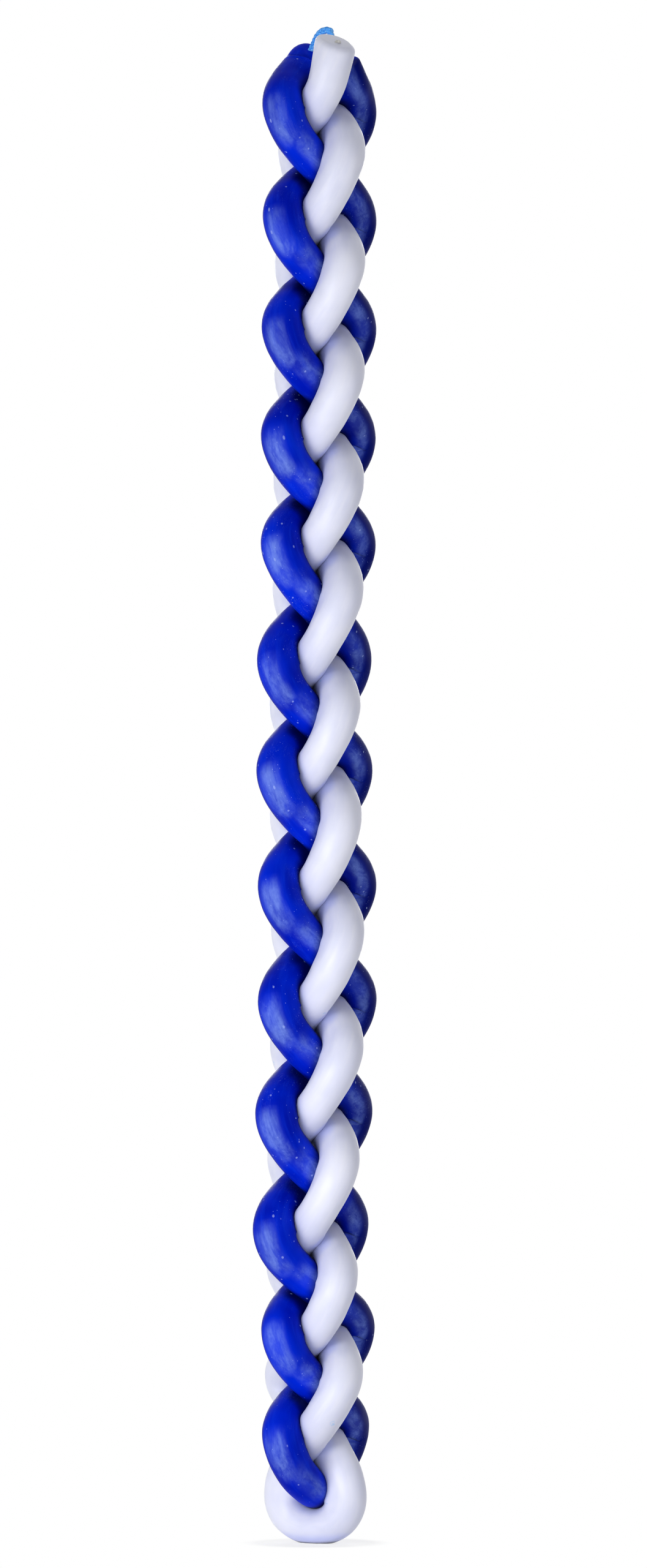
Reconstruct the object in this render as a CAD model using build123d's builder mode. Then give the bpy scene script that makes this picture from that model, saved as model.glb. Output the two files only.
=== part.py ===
"""A havdalah candle: a blue and a white wax taper, each folded in half, plaited into a four-strand round braid.

+X is to the right of the front view, +Y points away from the viewer and +Z is up. The origin is the middle of
the base. Sizes are in millimetres and angles in degrees. The plait follows the thickness of the tapers, so plan
places, and heights within the folds and ends, are given in taper diameters. The strands have flats instead of a
round section, which keeps their many turns light.
"""

from build123d import *
from math import cos, pi, radians, sin, sqrt
import os

wax_height = 297.2  # base to the middle of the highest strand end
taper_diameter = 7.3
wick_diameter = 1.1
wick_gap = 0.05  # between a wick and its bore
wick_depth = 2.6  # how far a wick is set into the wax
facet_width = 2.9  # of the flats round a strand
facet_length = 2.4  # of the flats along a strand
base_flat_depth = 0.5  # cut off the white fold so that the candle stands

# The plait. Its strands cross in level rows, a quarter turn apart. Each pair is where an arm stands in plan,
# and how far it leans on from there within one row's rise
turn_length = 5.9  # least length of a full turn, in taper diameters
blue_even_row = (-0.90, -1.33), (-0.54, -0.13)
blue_odd_row = (-0.35, 0.39), (1.59, 0.75)
white_even_row = (0.44, 0.26), (-1.54, 2.32)
white_odd_row = (-0.49, 1.45), (-0.77, 0.17)

# The folds at the bottom, in taper diameters
lowest_row = 2.575
white_fold_reach = 1.11  # from the axis to each upright side
white_fold_rise = 0.93  # lowest point of the centre line to its upright sides
white_fold_azimuth = -32.0
blue_fold_azimuth = -96.0
fold_clearance = 0.02  # between the blue fold and the white one below it

# The strand ends at the top, in taper diameters: each pair is a place in plan and a lean per unit of rise
top_length = 2.315  # highest full row to the highest end
white_front_end = (0.64, -1.42), (0.12, 0.10)
white_back_end = (-0.49, 1.51), (0.06, -0.04)
white_back_drop = 0.97
blue_left_end = (-0.18, 0.36), (0.51, -0.30)
blue_left_drop = 0.38
blue_right_end = (0.70, -0.15), (-0.34, -0.33)
blue_right_drop = 0.69
end_run = 0.41  # straight wax below the two sloping ends
white_end_slope = 14.0  # the front white end falls to the right
blue_end_slope = 18.0  # the left blue end falls to the front
white_end_round = 0.5
blue_end_round = 1.2

# The blue wick's bare tip, which arches over towards the white end and hooks down behind it
arch_rise = 5.05  # wax end to the top of the arch's centre line
arch_reach = 5.2
hook_reach = 6.1
hook_droop = 2.6
tip_azimuth = -30.0

# Derived sizes
taper_radius = taper_diameter / 2
wick_radius = wick_diameter / 2
bore_radius = wick_radius + wick_gap
lowest_row_height = lowest_row * taper_diameter
plait_length = wax_height - (lowest_row + top_length) * taper_diameter
rows = 4 * int(plait_length / (turn_length * taper_diameter))
row_rise = plait_length / rows
white_fold_floor = taper_radius - base_flat_depth
blue_fold_floor = white_fold_floor + (1 + fold_clearance) * taper_diameter
flats = round(pi * taper_diameter / facet_width)
arc_steps = round(taper_diameter / facet_length)  # an arc is about as long as a strand is thick
cut_radius = taper_radius + wick_diameter
cut_height = 2 * taper_diameter
up = Vector(0, 0, 1)


def level(azimuth):
    """The level direction at an azimuth."""
    return Vector(cos(radians(azimuth)), sin(radians(azimuth)), 0)


def in_plan(place):
    """A place or lean in plan, in millimetres."""
    return Vector(place[0] * taper_diameter, place[1] * taper_diameter, 0)


def arm_station(even_row, odd_row, arm, row):
    """Point and direction of an arm in a row. Two rows are half a turn, and the second arm is opposite."""
    place, lean = odd_row if row % 2 else even_row
    side = -1 if (row // 2 + arm) % 2 else 1
    point = in_plan(place) * side + up * (lowest_row_height + row * row_rise)
    direction = in_plan(lean) * side + up * row_rise
    return point, direction.normalized()


def blue_arm(arm):
    """The blue arms turn clockwise on their way up. Arm 0 is the front left one in the lowest row."""
    return [arm_station(blue_even_row, blue_odd_row, arm, row) for row in range(rows + 1)]


def white_arm(arm, row_count):
    """The white arms turn the other way. Arm 0 is the right one in the lowest row."""
    return [arm_station(white_even_row, white_odd_row, arm, row) for row in range(row_count)]


def strand_end(place_and_lean, drop):
    """Middle and direction of a strand end, a number of taper diameters below the highest one."""
    place, lean = place_and_lean
    point = in_plan(place) + up * (wax_height - drop * taper_diameter)
    return point, (Vector(lean[0], lean[1], 1)).normalized()


def straight_run(end):
    """Two stations that carry a strand straight through the place where it is cut."""
    point, direction = end
    run = direction * (end_run * taper_diameter)
    return [(point - run, direction), (point + run, direction)]


def turned_back(stations):
    """The same stations, walked the other way."""
    return [(point, -direction) for point, direction in reversed(stations)]


def centre_line(stations):
    """Points and directions along a strand: its stations, and points on two tangent arcs between those that turn."""
    line = []
    for (start, leaving), (end, arriving) in zip(stations, stations[1:]):
        line.append((start, leaving))
        if leaving == arriving:
            continue
        chord = end - start
        along = chord.dot(leaving + arriving)
        spread = 2 * (1 - leaving.dot(arriving))
        handle = (sqrt(along * along + spread * chord.dot(chord)) - along) / spread
        joint = (start + leaving * handle + end - arriving * handle) / 2
        with BuildLine():
            first = TangentArc(start, joint, tangent=leaving)
            second = TangentArc(end, joint, tangent=-arriving)
        steps = [step / arc_steps for step in range(1, arc_steps + 1)]
        line += [(first @ step, first % step) for step in steps]
        line += [(second @ (1 - step), -(second % (1 - step))) for step in steps[:-1]]
    return line + [stations[-1]]


def strand(stations, radius):
    """A strand with flats all round, drawn through sections along its centre line. They turn without a twist."""
    line = centre_line(stations)
    before = line[0][1]
    across = Plane(origin=line[0][0], z_dir=before).x_dir
    with BuildPart() as tube:
        for point, direction in line:
            across -= (before + direction) * (across.dot(direction) / (1 + before.dot(direction)))
            before = direction
            with BuildSketch(Plane(origin=point, x_dir=across, z_dir=direction)):
                RegularPolygon(radius, flats)
        loft(ruled=True)
    return tube.part


def end_rim(taper, cut):
    """The outer edge of a strand end that was cut on a plane."""
    return taper.faces().filter_by(GeomType.PLANE).sort_by_distance(cut.origin)[0].outer_wire().edges()


# White centre line: down the arm that ends at the front, through the fold and up the arm that ends at the back
white_front = strand_end(white_front_end, 0)
white_back = strand_end(white_back_end, white_back_drop)
white_side = level(white_fold_azimuth) * (white_fold_reach * taper_diameter)
white_side_height = up * (white_fold_floor + white_fold_rise * taper_diameter)
white_fold = [
    (white_side_height - white_side, -up),
    (up * white_fold_floor, level(white_fold_azimuth)),
    (white_side_height + white_side, up),
]
white_front_arm = white_arm(1, rows + 2) + straight_run(white_front)
white_line = turned_back(white_front_arm) + white_fold + white_arm(0, rows + 1) + [white_back]
white_cut = Plane(origin=white_front[0], z_dir=up.rotate(Axis.Y, white_end_slope))

# Blue centre line: down the right arm, through the fold and up the left arm
blue_left = strand_end(blue_left_end, blue_left_drop)
blue_right = strand_end(blue_right_end, blue_right_drop)
blue_fold = [(up * blue_fold_floor, level(blue_fold_azimuth))]
blue_line = turned_back(blue_arm(1) + [blue_right]) + blue_fold + blue_arm(0) + straight_run(blue_left)
blue_cut = Plane(origin=blue_left[0], z_dir=up.rotate(Axis.X, blue_end_slope))

# Blue wick's centre line: from inside the wax straight out of it, then the bare tip
blue_wick_root = blue_left[0] - blue_left[1] * wick_depth, blue_left[1]
tip_direction = level(tip_azimuth)
arch_top = blue_left[0] + tip_direction * arch_reach + up * arch_rise
hook_end = blue_left[0] + tip_direction * hook_reach + up * (arch_rise - hook_droop)
blue_wick_line = [blue_wick_root, blue_left, (arch_top, tip_direction), (hook_end, -up)]

with BuildPart() as white_taper:
    add(strand(white_line, taper_radius))
    with BuildSketch(white_cut):
        Circle(cut_radius)
    extrude(amount=cut_height, mode=Mode.SUBTRACT)
    fillet(end_rim(white_taper, white_cut), radius=white_end_round)
    with Locations(Plane(origin=white_front[0], z_dir=white_front[1])):
        Cylinder(bore_radius, 2 * (wick_depth + wick_gap), mode=Mode.SUBTRACT)
    with BuildSketch(Plane.XY):
        Circle(2 * taper_diameter)
    extrude(amount=-taper_diameter, mode=Mode.SUBTRACT)

with BuildPart() as white_wick:
    with Locations(Plane(origin=white_front[0], z_dir=white_front[1])):
        Cylinder(wick_radius, 2 * wick_depth)
    with BuildSketch(white_cut):
        Circle(cut_radius)
    extrude(amount=cut_height, mode=Mode.SUBTRACT)

with BuildPart() as blue_taper:
    add(strand(blue_line, taper_radius))
    with BuildSketch(blue_cut):
        Circle(cut_radius)
    extrude(amount=cut_height, mode=Mode.SUBTRACT)
    fillet(end_rim(blue_taper, blue_cut), radius=blue_end_round)
    with Locations(Plane(origin=blue_left[0], z_dir=blue_left[1])):
        Cylinder(bore_radius, 2 * (wick_depth + wick_gap), mode=Mode.SUBTRACT)

with BuildPart() as blue_wick:
    add(strand(blue_wick_line, wick_radius))

os.makedirs("parts", exist_ok=True)
for name, piece in {
    "blue_taper": blue_taper,
    "white_taper": white_taper,
    "blue_wick": blue_wick,
    "white_wick": white_wick,
}.items():
    piece.part.label = name
    export_step(piece.part, f"parts/{name}.step")
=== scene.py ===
"""Looks of a plaited havdalah candle: two wax tapers and their cotton wicks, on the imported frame.

Shapes are worked out in millimetres and turn into metres as meshes. Floor, lamps and camera are in metres.
"""

from math import atan2, ceil, cos, pi, radians, sin, sqrt

import bpy
import numpy as np
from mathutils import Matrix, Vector, kdtree


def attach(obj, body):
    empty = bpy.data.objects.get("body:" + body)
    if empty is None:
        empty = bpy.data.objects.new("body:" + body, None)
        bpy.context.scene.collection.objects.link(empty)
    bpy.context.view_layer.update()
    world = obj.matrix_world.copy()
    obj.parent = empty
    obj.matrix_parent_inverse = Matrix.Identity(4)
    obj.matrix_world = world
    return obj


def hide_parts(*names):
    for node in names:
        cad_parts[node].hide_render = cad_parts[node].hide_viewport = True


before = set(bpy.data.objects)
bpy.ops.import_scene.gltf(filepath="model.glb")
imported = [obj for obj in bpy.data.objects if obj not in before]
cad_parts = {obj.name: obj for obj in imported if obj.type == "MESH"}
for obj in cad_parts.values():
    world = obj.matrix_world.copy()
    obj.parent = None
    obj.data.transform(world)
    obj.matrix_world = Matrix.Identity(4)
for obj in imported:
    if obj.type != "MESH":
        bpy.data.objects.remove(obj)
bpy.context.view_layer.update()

MM = 0.001
UP = np.array([0.0, 0.0, 1.0])
rng = np.random.default_rng(7)

# The plait, with the rows and folds of the solids, in millimetres
wax_height = 297.2
taper_diameter = 7.3
base_flat_depth = 0.5
rows = 24
lowest_row = 2.575 * taper_diameter
highest_row = wax_height - 2.315 * taper_diameter
row_rise = (highest_row - lowest_row) / rows
white_fold_reach = 1.11 * taper_diameter
white_fold_rise = 0.93 * taper_diameter
white_fold_azimuth = radians(-32)
blue_fold_azimuth = radians(-96)
white_fold_floor = taper_diameter / 2 - base_flat_depth
blue_fold_floor = white_fold_floor + 1.02 * taper_diameter

# Strand ends and the bare wick's foot: place in plan, lean and drop below the wax height, in taper diameters
white_front_end = (0.627, -1.42), (0.30, 0.10), 0.16
white_back_end = (-0.49, 1.51), (0.06, -0.04), 0.97
blue_left_end = (-0.13, 0.36), (0.51, -0.30), 0.22
blue_right_end = (0.70, -0.15), (-0.34, -0.33), 0.69
blue_wick_foot = (-0.18, 0.36), (0.51, -0.30), 0.38

# How many rows each arm follows the plait before it bends to its end
white_front_rows = rows + 0.5
white_back_rows = rows
blue_left_rows = rows + 0.6
blue_right_rows = rows + 0.4

# An arm's swing to the right and to the back: shares of cosine and sine of its turn, then of three turns
blue_swing = (-7.25, -3.01, 0.23, -0.06), (-10.72, 0.75, -0.09, -1.39)
white_swing = (3.45, -4.01, 0.01, -0.24), (0.25, 11.73, 0.65, 0.72)

# Hand-plaited unevenness, one value for each half turn from the base up
half_turn = 2 * row_rise
row_sway = (0.0, -0.1, 0.6, -1.0, -0.4, 0.3, 0.3, -0.2, -0.3, 0.5, 0.5, 0.7, 0.8, 0.8, -0.4)
row_shift = (0.0, 0.0, -1.7, -3.2, -2.5, -2.2, -1.2, -0.2, -0.2, 1.0, 0.4, 0.1, 0.0, 0.0, 0.0)
row_spread = (1.06, 0.88, 0.96, 0.99, 1.01, 1.03, 1.03, 1.0, 0.98, 0.98, 0.98, 0.98, 0.97, 0.97, 1.0)

# Where a white arm lies aside: height, shift to the right, and whether it is the arm that ends at the back
white_nudges = (31.0, -2.0, True), (273.0, 0.8, False)
nudge_reach = 10.0

# Wax strands
wax_radius = 3.72
points_per_row = 24
ring_step = 0.5
ring_sides = 48
core_fill = 2.5  # wax pressed into the hollow along the middle of the plait
core_softness = taper_diameter / 8  # eases the core fill where a strand passes the axis
slope_reach = 1.6  # how far down from an end its slope fades out, in strand radii
press_share = 0.5  # of an overlap, for each of the two strands
crease_reach = 0.9
dip_waves = (61, 0.012), (29, 0.010), (13, 0.007), (6.1, 0.004), (3.3, 0.002)  # length and depth
dip_lobes = 0, 2, 3

# At each strand end: edge round, level direction in which the face falls, how much it falls, and dish depth
white_ends = {0: (1.3, (0.0, -1.0), 0.40, 0.1), -1: (0.6, (0.0, 1.0), 0.1, 0.2)}
blue_ends = {0: (0.7, (0.0, -1.0), 0.1, 0.2), -1: (2.4, (-0.4, -0.9), 0.55, 0.0)}

# Wicks of three cotton yarns, and the arch of the bare blue one from its foot
wick_depth = 2.6
cotton_pitch = 2.3
cotton_wide = 0.33
cotton_thick = 0.26
cotton_step = 0.06
yarn_radius = 0.38
yarn_sides = 12
tip_azimuth = radians(-30)
arch_reach = 4.15
arch_rise = 4.75
hook_reach = 4.9
hook_rise = 2.7
stub_rise = 0.15  # of the trimmed white wick above the wax


# Centre lines
def unit(vector):
    return vector / np.linalg.norm(vector)


def level(azimuth):
    return np.array([cos(azimuth), sin(azimuth), 0.0])


def in_plan(place):
    return np.array([place[0], place[1], 0.0]) * taper_diameter


def eased(share):
    """A share held between 0 and 1, with a smooth start and end."""
    share = np.clip(share, 0, 1)
    return share * share * (3 - 2 * share)


def arm(swing, which, last_row):
    """Points of an arm from the lowest row up. A row is a quarter turn, and the second arm is opposite."""
    row = np.linspace(0, last_row, int(last_row * points_per_row) + 1)
    turn = row * pi / 2 + which * pi
    waves = np.stack([np.cos(turn), np.sin(turn), np.cos(3 * turn), np.sin(3 * turn)])
    return np.stack([swing[0] @ waves, swing[1] @ waves, lowest_row + row * row_rise], axis=1)


def strand_end(end):
    """Point and direction of a strand end."""
    place, lean, drop = end
    point = in_plan(place) + UP * (wax_height - drop * taper_diameter)
    return point, unit(np.array([lean[0], lean[1], 1.0]))


def turned_back(stations):
    """The same stations, walked the other way."""
    return [(point, -direction) for point, direction in reversed(stations)]


def arc(start, leaving, end, count):
    """Points of the round arc that leaves the start in a direction and reaches the end."""
    chord = end - start
    along = chord @ leaving
    off = chord - leaving * along
    height = np.linalg.norm(off)
    share = np.arange(count)[:, None] / count
    if height < 1e-6:
        return start + share * chord
    radius = (chord @ chord) / (2 * height)
    angle = share * 2 * atan2(height, along)
    return start + radius * (np.sin(angle) * leaving + (1 - np.cos(angle)) * off / height)


def centre_line(stations, count=24):
    """Dense points along two tangent arcs between each pair of stations."""
    runs = []
    for (start, leaving), (end, arriving) in zip(stations, stations[1:]):
        chord = end - start
        along = chord @ (leaving + arriving)
        spread = 2 * (1 - leaving @ arriving)
        if spread < 1e-9:
            runs.append(start + np.arange(count)[:, None] / count * chord)
            continue
        handle = (sqrt(along * along + spread * (chord @ chord)) - along) / spread
        joint = (start + leaving * handle + end - arriving * handle) / 2
        runs.append(arc(start, leaving, joint, count))
        runs.append(np.vstack([joint, arc(end, -arriving, joint, count)[:0:-1]]))
    return np.vstack(runs + [stations[-1][0]])


def even_steps(points, step):
    """The same line with points at even steps, and how far along each lies."""
    reach = np.concatenate([[0], np.cumsum(np.linalg.norm(np.diff(points, axis=0), axis=1))])
    count = int(reach[-1] / step)
    along = np.linspace(0, reach[-1], count + 1)
    return np.stack([np.interp(along, reach, points[:, axis]) for axis in range(3)], axis=1), along


def softened(points, width=5):
    """A line with the changes of bend between its arcs smoothed out."""
    weights = np.hanning(2 * width + 3)[1:-1]
    weights /= weights.sum()
    padded = np.vstack([
        2 * points[0] - points[width:0:-1],
        points,
        2 * points[-1] - points[-2:-width - 2:-1],
    ])
    return np.stack([np.convolve(padded[:, axis], weights, "valid") for axis in range(3)], axis=1)


def hand_plaited(points):
    """Sways, stretches and spreads the regular plait as the hand left it."""
    lowest_value = lowest_row - half_turn
    place = np.clip((points[:, 2] - lowest_value) / half_turn, 0, len(row_sway) - 1.001)
    low = place.astype(int)
    share = eased(place - low)

    def between(values):
        values = np.array(values)
        return values[low] * (1 - share) + values[low + 1] * share

    out = points.copy()
    out[:, 0] = points[:, 0] * between(row_spread) + between(row_sway)
    out[:, 2] = points[:, 2] + between(row_shift)
    return out


def arm_bottom(points):
    return points[0], unit(points[1] - points[0])


def arm_top(points):
    return points[-1], unit(points[-1] - points[-2])


def strand_path(first_arm, first_end, fold, second_arm, second_end):
    """A strand's centre line: down one arm from its end, through the fold and up the other arm to its end."""
    first_top = centre_line([arm_top(first_arm)] + first_end)
    second_top = centre_line([arm_top(second_arm)] + second_end)
    low = centre_line(turned_back([arm_bottom(first_arm)]) + fold + [arm_bottom(second_arm)])
    points = np.vstack([first_top[:0:-1], first_arm[::-1], low[1:], second_arm[1:], second_top[1:]])
    points, _ = even_steps(points, ring_step)
    return hand_plaited(softened(points))


white_front = strand_end(white_front_end)
white_back = strand_end(white_back_end)
blue_left = strand_end(blue_left_end)
blue_right = strand_end(blue_right_end)
white_side = level(white_fold_azimuth) * white_fold_reach
white_side_height = UP * (white_fold_floor + white_fold_rise)
white_fold = [
    (white_side_height - white_side, -UP),
    (UP * white_fold_floor, level(white_fold_azimuth)),
    (white_side_height + white_side, UP),
]
blue_fold = [(UP * blue_fold_floor, level(blue_fold_azimuth))]
white_path = strand_path(
    arm(white_swing, 1, white_front_rows),
    [white_front],
    white_fold,
    arm(white_swing, 0, white_back_rows),
    [white_back],
)
back_half = np.arange(len(white_path)) > len(white_path) / 2
for height, shift, at_back in white_nudges:
    near_by = eased(1 - np.abs(white_path[:, 2] - height) / nudge_reach)
    white_path[:, 0] += shift * (back_half == at_back) * near_by
blue_path = strand_path(
    arm(blue_swing, 1, blue_right_rows),
    [blue_right],
    blue_fold,
    arm(blue_swing, 0, blue_left_rows),
    [blue_left],
)


# Meshes
def frames_along(points):
    """A direction and two crosswise directions at each point, turning as little as they can."""
    ahead = np.gradient(points, axis=0)
    ahead /= np.linalg.norm(ahead, axis=1)[:, None]
    across = np.empty_like(ahead)
    not_ahead = [0.3, 0.9, 0.1]
    across[0] = unit(np.cross(ahead[0], not_ahead))
    for index in range(1, len(points)):
        turned = across[index - 1] - ahead[index] * (across[index - 1] @ ahead[index])
        across[index] = unit(turned)
    return ahead, across, np.cross(ahead, across)


def tube_faces(ring_count, sides):
    """Quads of a tube whose rings follow each other, with its two end rings closed."""
    faces = []
    for ring in range(ring_count - 1):
        low = ring * sides
        for side in range(sides):
            after = (side + 1) % sides
            faces.append((low + side, low + after, low + sides + after, low + sides + side))
    faces.append(tuple(range(sides - 1, -1, -1)))
    faces.append(tuple((ring_count - 1) * sides + side for side in range(sides)))
    return faces


def closed_profile(radius, edge_round, steps=6, inner=10, last_share=0.03):
    """Heights and radii of the rings that close a round-edged strand end."""
    turn = np.linspace(0, pi / 2, steps + 1)[1:]
    heights = list(edge_round * np.sin(turn))
    radii = list(radius - edge_round * (1 - np.cos(turn)))
    for share in np.linspace(1, last_share, inner + 1)[1:]:
        heights.append(edge_round)
        radii.append((radius - edge_round) * share)
    return np.array(heights), np.array(radii)


def wax_strand(path, radius, ends):
    """Ring points of a strand, with each end closed by an edge round and a sloping face.

    Also given are where each point lies on the straight taper, and the centre and direction of each ring.
    """
    ahead, across, aside = frames_along(path)
    kept = slice(ceil(ends[0][0] / ring_step), len(path) - ceil(ends[-1][0] / ring_step))
    last = (len(path) - 1) * ring_step
    centres = [path[kept]]
    sizes = [np.full(len(path), radius)[kept]]
    axes = [(ahead[kept], across[kept], aside[kept])]
    along = [np.arange(len(path))[kept] * ring_step]
    for index, sense in ((0, -1), (-1, 1)):
        edge_round, _, _, dish = ends[index]
        heights, radii = closed_profile(radius, edge_round)
        along.append((last if index else 0) + sense * (heights - edge_round))
        heights = heights - edge_round - dish * (1 - (radii / radius) ** 2)
        count = len(heights)
        centres.append(path[index] + sense * heights[:, None] * ahead[index])
        sizes.append(radii)
        axes.append(tuple(np.repeat(axis[index][None], count, axis=0) for axis in (ahead, across, aside)))
    order = [(1, slice(None, None, -1)), (0, slice(None)), (2, slice(None))]
    centre = np.vstack([centres[part][cut] for part, cut in order])
    size = np.concatenate([sizes[part][cut] for part, cut in order])
    across = np.vstack([axes[part][1][cut] for part, cut in order])
    aside = np.vstack([axes[part][2][cut] for part, cut in order])
    ahead = np.vstack([axes[part][0][cut] for part, cut in order])
    along = np.concatenate([along[part][cut] for part, cut in order])
    turn = np.arange(ring_sides) / ring_sides * 2 * pi
    out = across[:, None] * np.cos(turn)[None, :, None] + aside[:, None] * np.sin(turn)[None, :, None]
    lumps = hand_dipped(along, turn)
    inward = centre * (-1.0, -1.0, 0.0)
    inward /= np.linalg.norm(inward, axis=1)[:, None] + core_softness
    squeezed = np.clip(np.einsum("rsk,rk->rs", out, inward), 0, 1) ** 2
    rings = centre[:, None] + out * (size[:, None] * lumps + core_fill * squeezed)[..., None]
    for index, distance in ((0, along), (-1, last - along)):
        _, fall, slope, _ = ends[index]
        fade = eased(1 - distance / (slope_reach * radius))
        offset = (rings - path[index]) @ np.array([fall[0], fall[1], 0.0])
        rings[..., 2] -= slope * offset * fade[:, None]
    lay = np.stack(
        [
            size[:, None] * np.cos(turn)[None],
            size[:, None] * np.sin(turn)[None],
            np.repeat(along[:, None], ring_sides, axis=1),
        ],
        axis=2,
    )
    return rings, lay, centre, ahead


def hand_dipped(along, turn):
    """Slow swelling and faint lumps along a dipped taper, as a factor on its radius."""
    factor = np.ones((len(along), len(turn)))
    for wave, depth in dip_waves:
        for lobes in dip_lobes:
            phase = rng.uniform(0, 2 * pi, 2)
            wander = np.cos(2 * pi * along / wave + phase[0])[:, None]
            factor += depth * wander * np.cos(lobes * turn + phase[1])[None] / (1 + lobes)
    return factor


def pressed(rings, other_path, other_radius):
    """Pushes wax off the other strand by its share of their overlap, and says how near each point is."""
    tree = kdtree.KDTree(len(other_path))
    for index, point in enumerate(other_path):
        tree.insert(point, index)
    tree.balance()
    flat = rings.reshape(-1, 3).copy()
    near = np.empty(len(flat))
    for index, point in enumerate(flat):
        found, _, distance = tree.find(point)
        near[index] = distance - other_radius
        if near[index] < 0:
            push = (point - np.array(found)) / distance
            flat[index] = point - push * near[index] * press_share
    return flat.reshape(rings.shape), near.reshape(rings.shape[:2])


def mesh_piece(name, points, faces):
    mesh = bpy.data.meshes.new(name)
    mesh.from_pydata((points.reshape(-1, 3) * MM).tolist(), [], faces)
    mesh.validate()
    for polygon in mesh.polygons:
        polygon.use_smooth = True
    piece = bpy.data.objects.new(name, mesh)
    bpy.context.collection.objects.link(piece)
    return piece


def write_vectors(piece, name, values):
    layer = piece.data.attributes.new(name, "FLOAT_VECTOR", "POINT")
    layer.data.foreach_set("vector", np.asarray(values, dtype=np.float32).ravel())


def write_floats(piece, name, values):
    layer = piece.data.attributes.new(name, "FLOAT", "POINT")
    layer.data.foreach_set("value", np.asarray(values, dtype=np.float32).ravel())


def swell(values, low, high):
    """0 below the low value, 1 above the high one and smooth between. The low value may be the greater."""
    return eased((values - low) / (high - low))


def window(values, middle, half_width):
    """1 about the middle value, 0 beyond the half width and smooth between."""
    return swell(np.abs(values - middle), half_width, half_width * 0.25)


def painted_places(rings, centre, ahead):
    """How much painted highlight the wax gets beside the crossings, and how much painted shade along one
    flank.

    The plait looks the same from the front and, half a turn on, from the back, and so do the painted places.
    They follow a strand's place in plan, its slope, and how far round it a point lies in strand radii.
    """
    all_painted_highlight = np.zeros(rings.shape[:2])
    all_painted_shade = np.zeros(rings.shape[:2])
    for half_turned in ((1.0, 1.0, 1.0), (-1.0, -1.0, 1.0)):
        off = (rings - centre[:, None]) * half_turned / wax_radius
        x, y, _ = np.split(centre * half_turned, 3, axis=1)
        rising = ahead * half_turned * np.sign(ahead[:, 2:])
        right = np.stack([rising[:, 2], 0 * rising[:, 0], -rising[:, 0]], axis=1)
        right /= np.linalg.norm(right, axis=1)[:, None] + 1e-9
        across = np.einsum("rsk,rk->rs", off, right)
        front = swell(-off[..., 1], 0.0, 0.5)
        # Painted highlights, on the side facing the front, at three places:
        # The left bulge of a row, the part that dives under the white strand, and the bulge further back
        shoulder = window(rising[:, :1], -0.32, 0.34) * swell(x, -4.0, -6.0) * window(across, -0.32, 0.70)
        nose = window(x, -2.6, 3.6) * swell(y, -2.5, -5.5) * window(across, 0.20, 0.70)
        flank = swell(x, 3.0, 5.5) * swell(y, -6.0, -3.0) * window(across, 0.12, 0.50)
        painted_highlight = np.maximum(np.maximum(shoulder, nose * 0.65), flank * 0.75) * front
        # Painted shade on strands to the right, darker towards their right edge, left off where they face the
        # back
        painted_shade = swell(x, 2.0, 5.0) * swell(y, -6.0, -3.0) * (0.45 + 0.55 * swell(across, 0.10, 0.80))
        all_painted_highlight = np.maximum(all_painted_highlight, painted_highlight)
        all_painted_shade = np.maximum(all_painted_shade, painted_shade * swell(-off[..., 1], -0.5, 0.1))
    return all_painted_highlight, all_painted_shade


def wax_piece(name, path, ends, other_path, painted):
    """A wax strand, with the values that its material reads."""
    free_rings, lay, centre, ahead = wax_strand(path, wax_radius, ends)
    rings, near = pressed(free_rings, other_path, wax_radius)
    rings[..., 2] = np.maximum(rings[..., 2], 0.0)
    piece = mesh_piece(name, rings, tube_faces(len(rings), ring_sides))
    write_vectors(piece, "lay", lay)
    # How near the other strand is, which the materials turn into painted shade in the creases
    write_floats(piece, "crease", np.exp(-np.clip(near, 0, None) / crease_reach))
    # Only the blue wax gets painted highlight and painted shade
    if painted:
        painted_highlight, painted_shade = painted_places(free_rings, centre, ahead)
        write_floats(piece, "painted_highlight", painted_highlight)
        write_floats(piece, "painted_shade", painted_shade)
    return piece


def plain_tube(points, radius, sides):
    """Ring points of a round tube along a line."""
    _, across, aside = frames_along(points)
    turn = np.arange(sides) / sides * 2 * pi
    out = across[:, None] * np.cos(turn)[None, :, None] + aside[:, None] * np.sin(turn)[None, :, None]
    return points[:, None] + out * np.asarray(radius).reshape(-1, 1, 1)


def joined(tubes):
    """One list of points and faces from several tubes."""
    points = []
    faces = []
    count = 0
    for rings in tubes:
        sides = rings.shape[1]
        faces += [tuple(index + count for index in face) for face in tube_faces(len(rings), sides)]
        points.append(rings.reshape(-1, 3))
        count += rings.shape[0] * sides
    return np.vstack(points), faces


def plaited_cotton(points, phase=0.0):
    """Three yarns plaited flat along a line."""
    points, along = even_steps(points, cotton_step)
    _, across, aside = frames_along(points)
    yarns = []
    for yarn in range(3):
        turn = 2 * pi * (along / cotton_pitch + yarn / 3) + phase
        line = points + across * (cotton_wide * np.sin(turn))[:, None]
        line = line + aside * (cotton_thick * np.sin(2 * turn))[:, None]
        uneven = 0.06 * np.sin(along * 5.1 + yarn * 2.0) + 0.04 * np.sin(along * 11.7 + yarn)
        yarns.append(plain_tube(line, yarn_radius * (1 + uneven), yarn_sides))
    return yarns


white_wax = wax_piece("white_wax", white_path, white_ends, blue_path, painted=False)
blue_wax = wax_piece("blue_wax", blue_path, blue_ends, white_path, painted=True)

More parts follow.
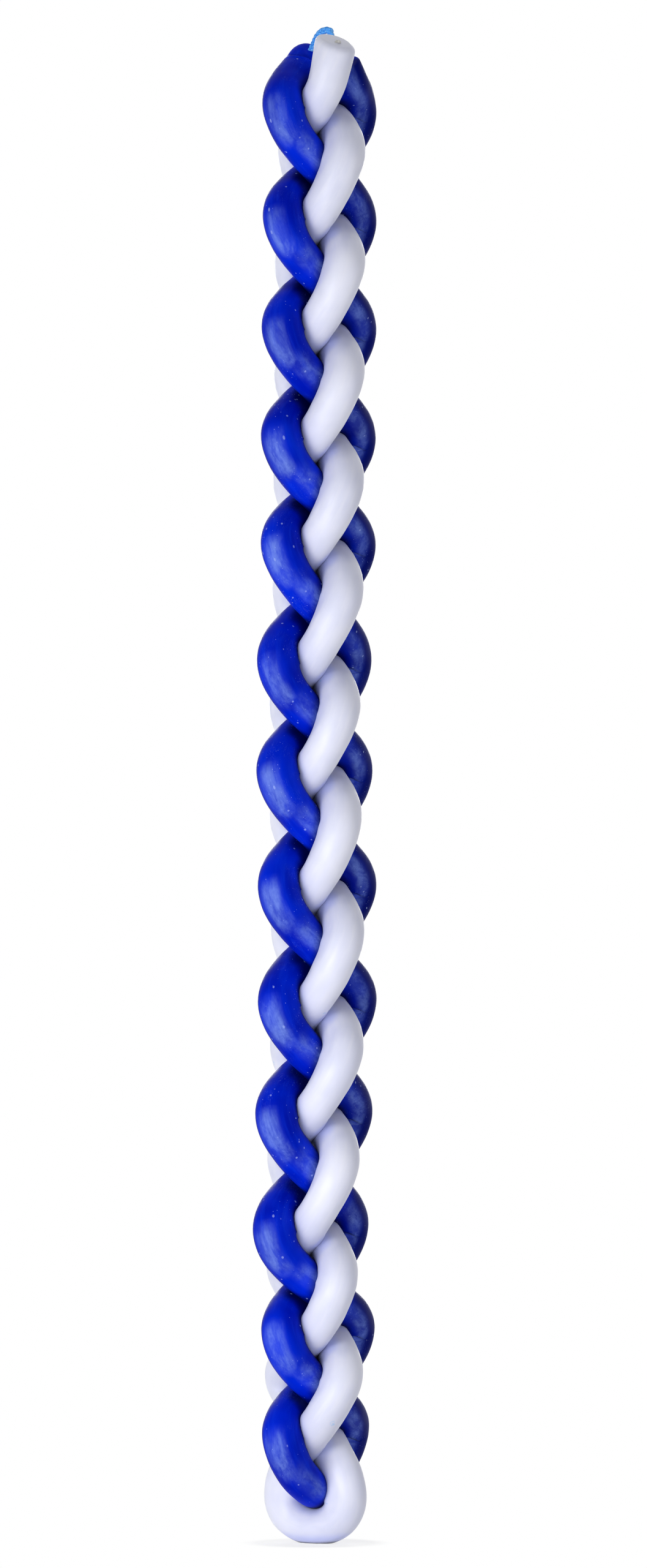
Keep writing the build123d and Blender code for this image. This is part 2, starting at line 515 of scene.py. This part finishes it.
# Wicks
blue_foot, foot_ahead = strand_end(blue_wick_foot)
tip_direction = level(tip_azimuth)
arch_top = blue_foot + tip_direction * arch_reach + UP * arch_rise
hook_end = blue_foot + tip_direction * hook_reach + UP * hook_rise
tip_stations = [
    (blue_foot - foot_ahead * wick_depth, foot_ahead),
    (blue_foot, foot_ahead),
    (arch_top, tip_direction),
    (hook_end, -UP),
]
tip_line = centre_line(tip_stations, count=40)
blue_cotton_points, blue_cotton_faces = joined(plaited_cotton(tip_line))
white_ahead = unit(white_path[0] - white_path[6])
stub_depths = np.linspace(wick_depth, -stub_rise, 12)
stub = white_path[0] - white_ahead * stub_depths[:, None]
white_cotton_points, white_cotton_faces = joined(plaited_cotton(stub, phase=1.0))
blue_cotton = mesh_piece("blue_cotton", blue_cotton_points, blue_cotton_faces)
white_cotton = mesh_piece("white_cotton", white_cotton_points, white_cotton_faces)


# Materials, which read places on the wax in millimetres and reaches and bumps in metres
hollow_reach = 0.003
shadow_start = 0.003  # from the middle of the base, on the floor
shadow_end = 0.016
shadow_white = 0.72


def new_material(name):
    material = bpy.data.materials.new(name)
    material.use_nodes = True
    return material, material.node_tree, material.node_tree.nodes["Principled BSDF"]


def add(tree, kind, inputs=None, **settings):
    node = tree.nodes.new(kind)
    for key, value in settings.items():
        setattr(node, key, value)
    for key, value in (inputs or {}).items():
        if isinstance(value, bpy.types.NodeSocket):
            tree.links.new(value, node.inputs[key])
        else:
            node.inputs[key].default_value = value
    return node


def math(tree, operation, first, second=0.0, clamp=False):
    return add(tree, "ShaderNodeMath", {0: first, 1: second}, operation=operation, use_clamp=clamp).outputs[0]


def ramp(tree, value, low, high):
    """0 at the low value, 1 at the high one and smooth between. The low value may be the greater."""
    names = {"Value": value, "From Min": low, "From Max": high}
    return add(tree, "ShaderNodeMapRange", names, interpolation_type="SMOOTHSTEP").outputs[0]


def mix(tree, share, first, second):
    node = add(tree, "ShaderNodeMix", data_type="RGBA")
    for index, value in ((0, share), (6, first), (7, second)):
        if isinstance(value, bpy.types.NodeSocket):
            tree.links.new(value, node.inputs[index])
        else:
            node.inputs[index].default_value = value if index == 0 else (*value, 1.0)
    return node.outputs[2]


def tinted(tree, colour, where, strength, tint):
    """A colour with a tint over it: as strong as said where the mask is 1."""
    return mix(tree, math(tree, "MULTIPLY", where, strength, True), colour, tint)


def attribute(tree, name):
    return add(tree, "ShaderNodeAttribute", attribute_name=name)


def scaled(tree, vector, scale):
    return add(tree, "ShaderNodeMapping", {"Vector": vector, "Scale": scale}).outputs[0]


def noise(tree, vector, scale, detail=3.0, rough=0.55, distortion=0.0):
    names = {"Vector": vector, "Scale": scale, "Detail": detail, "Roughness": rough, "Distortion": distortion}
    return add(tree, "ShaderNodeTexNoise", names).outputs[0]


def hollow(tree, open_at, closed_at):
    """How far a place is shut in by the wax around it, which the materials darken as painted shade."""
    openness = add(tree, "ShaderNodeAmbientOcclusion", {"Distance": hollow_reach}).outputs["AO"]
    return ramp(tree, openness, open_at, closed_at)


def specks(tree, vector, scale, size, share):
    """Sparse round dots."""
    cells = add(tree, "ShaderNodeTexVoronoi", {"Vector": vector, "Scale": scale, "Randomness": 1.0})
    dot = ramp(tree, cells.outputs["Distance"], size, size * 0.55)
    chosen = add(tree, "ShaderNodeSeparateColor", {0: cells.outputs["Color"]}).outputs[0]
    return math(tree, "MULTIPLY", dot, math(tree, "LESS_THAN", chosen, share))


def blue_wax_material():
    """Deep blue wax with dots, fine scratches, painted highlights, partly bloomed wax, and painted shade."""
    material, tree, shader = new_material("blue_wax")
    lay = attribute(tree, "lay").outputs["Vector"]
    crease = attribute(tree, "crease").outputs["Fac"]
    along = scaled(tree, lay, (1.0, 1.0, 0.16))
    tone = noise(tree, lay, 0.10, 2.0)
    colour = mix(tree, ramp(tree, tone, 0.3, 0.7), (0.0, 0.009, 0.46), (0.0, 0.023, 0.70))
    clouds = noise(tree, along, 0.9, 4.0, 0.6)
    colour = tinted(tree, colour, ramp(tree, clouds, 0.45, 0.75), 0.35, (0.006, 0.045, 0.76))
    # Painted shade where the blue strand comes close to the white one
    colour = tinted(tree, colour, ramp(tree, crease, 0.35, 1.0), 0.75, (0.0006, 0.002, 0.12))
    # Painted shade along the right flanks of the strands
    painted_shade = attribute(tree, "painted_shade").outputs["Fac"]
    colour = tinted(tree, colour, painted_shade, 0.9, (0.0, 0.003, 0.10))
    # Painted shade in hollows shut in by wax
    colour = tinted(tree, colour, hollow(tree, 0.85, 0.25), 0.85, (0.0, 0.001, 0.06))
    haze = noise(tree, scaled(tree, lay, (1.0, 1.0, 0.55)), 0.42, 6.0, 0.62, 0.3)
    mottle = noise(tree, lay, 2.2, 4.0, 0.65)
    patches = noise(tree, lay, 0.16, 2.0)
    # Painted highlight beside the crossings, with haze and mottle as on bloomed wax
    painted_highlight = attribute(tree, "painted_highlight").outputs["Fac"]
    bloom_and_painted_highlight = math(tree, "MULTIPLY", painted_highlight, math(tree, "ADD", 0.25, ramp(tree, haze, 0.35, 0.70)))
    bloom_and_painted_highlight = math(tree, "MULTIPLY", bloom_and_painted_highlight, math(tree, "ADD", 0.55, math(tree, "MULTIPLY", mottle, 0.8)))
    colour = tinted(tree, colour, bloom_and_painted_highlight, 0.62, (0.20, 0.31, 0.80))
    dots = specks(tree, lay, 0.55, 0.15, 0.30)
    fine = specks(tree, lay, 1.6, 0.13, 0.22)
    dotted = math(tree, "MAXIMUM", dots, fine)
    colour = tinted(tree, colour, dotted, 0.55, (0.36, 0.46, 0.85))
    scratch = noise(tree, scaled(tree, lay, (2.2, 0.5, 0.25)), 2.4, 2.0, 0.5, 1.2)
    scratched = ramp(tree, math(tree, "ABSOLUTE", math(tree, "SUBTRACT", scratch, 0.5)), 0.012, 0.004)
    scratched = math(tree, "MULTIPLY", scratched, ramp(tree, patches, 0.5, 0.62))
    colour = tinted(tree, colour, scratched, 0.22, (0.15, 0.22, 0.7))
    tree.links.new(colour, shader.inputs["Base Color"])
    rough = math(tree, "ADD", 0.33, math(tree, "MULTIPLY", clouds, 0.12))
    rough = math(tree, "ADD", rough, math(tree, "MULTIPLY", bloom_and_painted_highlight, 0.15))
    tree.links.new(rough, shader.inputs["Roughness"])
    shader.inputs["Specular IOR Level"].default_value = 0.012
    grain = math(tree, "ADD", noise(tree, lay, 2.6, 4.0), math(tree, "MULTIPLY", scratched, -0.4))
    bump = add(tree, "ShaderNodeBump", {"Height": grain, "Strength": 0.10, "Distance": 0.0002})
    tree.links.new(bump.outputs[0], shader.inputs["Normal"])
    return material


def white_wax_material():
    """Cloudy white wax, painted shade: bluer where strands meet, black in the deepest holes. A few blue
    stains.
    """
    material, tree, shader = new_material("white_wax")
    lay = attribute(tree, "lay").outputs["Vector"]
    crease = attribute(tree, "crease").outputs["Fac"]
    along = scaled(tree, lay, (1.0, 1.0, 0.2))
    tone = noise(tree, lay, 0.12, 2.0)
    colour = mix(tree, ramp(tree, tone, 0.3, 0.7), (0.70, 0.72, 0.88), (0.78, 0.795, 0.93))
    clouds = noise(tree, along, 0.8, 4.0, 0.6)
    colour = tinted(tree, colour, ramp(tree, clouds, 0.4, 0.8), 0.4, (0.84, 0.845, 0.94))
    # Painted bluish shade where the white strand comes close to the blue one, and in hollows
    colour = tinted(tree, colour, ramp(tree, crease, 0.3, 1.0), 0.4, (0.42, 0.47, 0.78))
    colour = tinted(tree, colour, hollow(tree, 0.9, 0.3), 0.5, (0.47, 0.53, 0.96))
    # Painted black shade in the deepest holes
    colour = mix(tree, hollow(tree, 0.13, 0.03), colour, (0.004, 0.005, 0.03))
    stain = specks(tree, lay, 0.16, 0.13, 0.45)
    stain = math(tree, "MULTIPLY", stain, ramp(tree, noise(tree, lay, 1.3, 3.0), 0.45, 0.6))
    colour = tinted(tree, colour, stain, 0.7, (0.36, 0.60, 0.90))
    tree.links.new(colour, shader.inputs["Base Color"])
    rough = math(tree, "ADD", 0.36, math(tree, "MULTIPLY", clouds, 0.12))
    tree.links.new(rough, shader.inputs["Roughness"])
    shader.inputs["Specular IOR Level"].default_value = 0.4
    shader.inputs["Subsurface Weight"].default_value = 0.25
    shader.inputs["Subsurface Radius"].default_value = (1.0, 0.95, 1.0)
    shader.inputs["Subsurface Scale"].default_value = 0.002
    grain = noise(tree, lay, 2.2, 3.0)
    bump = add(tree, "ShaderNodeBump", {"Height": grain, "Strength": 0.06, "Distance": 0.0002})
    tree.links.new(bump.outputs[0], shader.inputs["Normal"])
    return material


def cotton_material(name, dark, light, wax):
    """Wax-soaked cotton yarn: fine fibres along the plait, with paler and waxy places."""
    material, tree, shader = new_material(name)
    place = add(tree, "ShaderNodeTexCoord").outputs["Object"]
    fibres = noise(tree, scaled(tree, place, (4000.0, 4000.0, 1500.0)), 1.0, 3.0)
    soaked = noise(tree, place, 700.0, 2.0)
    colour = mix(tree, ramp(tree, fibres, 0.3, 0.7), dark, light)
    colour = tinted(tree, colour, ramp(tree, soaked, 0.5, 0.7), 0.6, wax)
    tree.links.new(colour, shader.inputs["Base Color"])
    tree.links.new(ramp(tree, soaked, 0.2, 0.8), shader.inputs["Roughness"])
    bump = add(tree, "ShaderNodeBump", {"Height": fibres, "Strength": 0.4, "Distance": 0.00005})
    tree.links.new(bump.outputs[0], shader.inputs["Normal"])
    return material


blue_wax.data.materials.append(blue_wax_material())
white_wax.data.materials.append(white_wax_material())
blue_cotton.data.materials.append(
    cotton_material("blue_wick", (0.03, 0.27, 0.85), (0.10, 0.45, 0.98), (0.32, 0.64, 1.0))
)
white_cotton.data.materials.append(
    cotton_material("white_wick", (0.50, 0.49, 0.46), (0.74, 0.73, 0.70), (0.60, 0.60, 0.62))
)
for piece, node, slot in (
    (blue_wax, "blue_taper", "blue_wax"),
    (white_wax, "white_taper", "white_wax"),
    (blue_cotton, "blue_wick", "blue_wick"),
    (white_cotton, "white_wick", "white_wick"),
):
    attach(piece, "root")
    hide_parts(node)


# Floor, light and camera
def white_seen(tree):
    """1 where a ray comes from the camera, a gloss or a clear surface."""
    path = add(tree, "ShaderNodeLightPath").outputs
    seen = math(tree, "ADD", path["Is Camera Ray"], path["Is Glossy Ray"], True)
    return math(tree, "ADD", seen, path["Is Transmission Ray"], True)


def floor_material():
    """An off-white floor, seen as white, and less so close to the base, where it keeps the candle's shadow.
    """
    material, tree, shader = new_material("floor")
    shader.inputs["Base Color"].default_value = (0.92, 0.92, 0.92, 1.0)
    shader.inputs["Roughness"].default_value = 0.9
    glow = add(tree, "ShaderNodeEmission", {"Color": (1.0, 1.0, 1.0, 1.0), "Strength": 1.0})
    place = add(tree, "ShaderNodeTexCoord").outputs["Object"]
    distance = add(tree, "ShaderNodeVectorMath", {0: place}, operation="LENGTH").outputs["Value"]
    bright = math(tree, "MAXIMUM", ramp(tree, distance, shadow_start, shadow_end), shadow_white)
    share = math(tree, "MULTIPLY", white_seen(tree), bright)
    blend = add(tree, "ShaderNodeMixShader", {0: share, 1: shader.outputs[0], 2: glow.outputs[0]})
    tree.links.new(blend.outputs[0], tree.nodes["Material Output"].inputs["Surface"])
    return material


bpy.ops.mesh.primitive_circle_add(vertices=96, radius=4.0, fill_type="NGON", location=(0, 0, 0))
floor = bpy.context.object
floor.name = "floor"
floor.data.materials.append(floor_material())

world = bpy.data.worlds.new("studio")
bpy.context.scene.world = world
world.use_nodes = True
sky = world.node_tree
background = sky.nodes["Background"]
background.inputs["Color"].default_value = (1.0, 1.0, 1.0, 1.0)
plain_light = 0.33
strength = math(sky, "MAXIMUM", white_seen(sky), plain_light)
sky.links.new(strength, background.inputs["Strength"])


def soft_box(name, place, aim, size, power):
    """A square area lamp."""
    light = bpy.data.lights.new(name, "AREA")
    light.shape = "SQUARE"
    light.size = size
    light.energy = power
    lamp = bpy.data.objects.new(name, light)
    bpy.context.collection.objects.link(lamp)
    lamp.location = place
    lamp.rotation_euler = (Vector(aim) - Vector(place)).to_track_quat("-Z", "Y").to_euler()


middle = (0.0, 0.0, 0.15)
low_fold = (0.0, 0.0, 0.03)
soft_box("key", (-0.55, -0.62, 0.05), middle, size=0.30, power=4.1)
soft_box("fill", (0.9, -0.9, 0.30), middle, size=0.6, power=2.2)
soft_box("low", (-0.13, -0.25, 0.06), low_fold, size=0.10, power=0.17)
soft_box("back", (0.0, 1.0, 0.30), middle, size=0.5, power=4.5)
soft_box("top", (-0.15, -0.55, 1.1), middle, size=0.5, power=0.9)

# The camera looks level at the candle with a long lens, so that the frame shows it at a set scale
photo_width = 1057
photo_height = 2560
mm_per_pixel = 0.12111
base_row = 2519
axis_column = 516
lens = 250.0
sensor = 36.0
camera_data = bpy.data.cameras.new("camera")
camera_data.lens = lens
camera_data.sensor_width = sensor
camera = bpy.data.objects.new("camera", camera_data)
bpy.context.collection.objects.link(camera)
camera.location = (
    (photo_width / 2 - axis_column) * mm_per_pixel * MM,
    -photo_height * mm_per_pixel * MM * lens / sensor,
    (base_row - photo_height / 2) * mm_per_pixel * MM,
)
camera.rotation_euler = (pi / 2, 0.0, 0.0)
bpy.context.scene.camera = camera
bpy.context.scene.view_settings.view_transform = "Standard"
